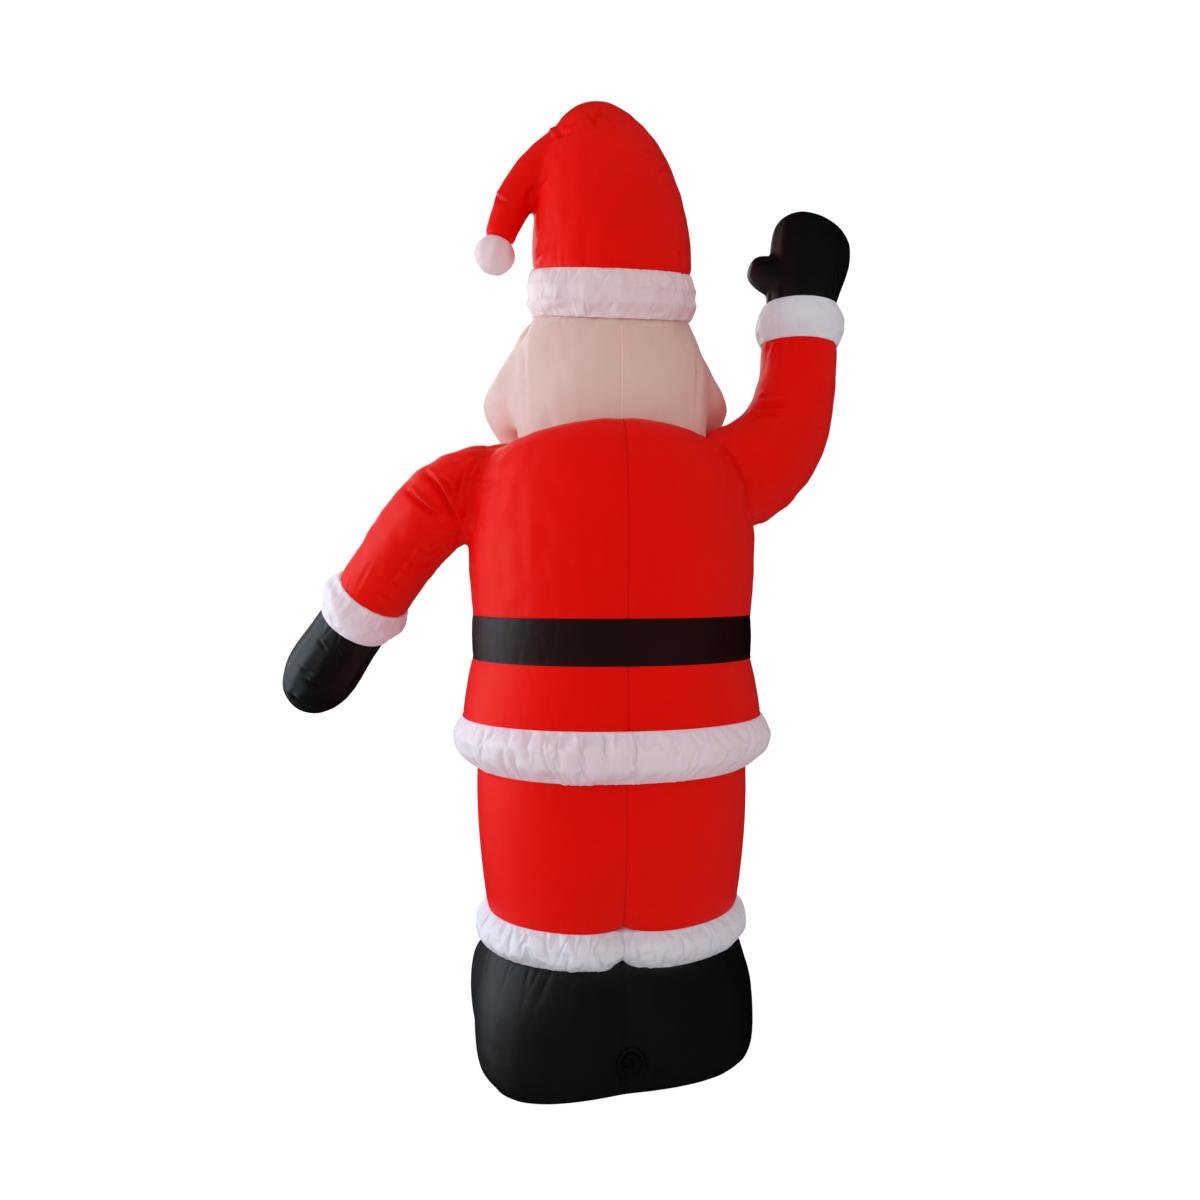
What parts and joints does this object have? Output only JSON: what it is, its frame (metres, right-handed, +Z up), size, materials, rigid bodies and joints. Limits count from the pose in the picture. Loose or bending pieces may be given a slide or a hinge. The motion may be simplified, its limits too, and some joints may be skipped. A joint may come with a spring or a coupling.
{
  "type": "inflatable_santa",
  "caption": "Blown-up garden Santa in red, white and black nylon, one mitten raised, the other hanging, standing on wide flat boots",
  "frame": {"origin": "middle of the boots' flat underside", "axes": "+Z up; the figure faces -Y; its own left arm is on +X"},
  "size_m": [1.5187, 0.7813, 2.3831],
  "materials": {
    "red_nylon": "taut woven nylon with a satin sheen",
    "white_nylon": "gathered white nylon",
    "ivory_nylon": "ivory nylon, warm where red shines through",
    "black_nylon": "black nylon with a cool sheen",
    "skin_nylon": "skin-toned nylon",
    "gold_nylon": "gold-coloured satin nylon"
  },
  "bodies": {
    "root": {"boots": "black_nylon", "trouser_trim": "white_nylon", "trousers": "red_nylon", "coat_trim": "white_nylon", "coat_skirt": "red_nylon", "belt": "black_nylon", "belt_buckle": "gold_nylon", "coat": "red_nylon", "left_sleeve": "red_nylon", "right_sleeve": "red_nylon", "left_cuff": "white_nylon", "right_cuff": "white_nylon", "left_mitten": "black_nylon", "right_mitten": "black_nylon", "head": "ivory_nylon", "beard": "ivory_nylon", "moustache": "white_nylon", "face": "skin_nylon", "nose": "skin_nylon", "hat_trim": "white_nylon", "hat": "red_nylon", "hat_pompom": "white_nylon"}
  },
  "joints": []
}
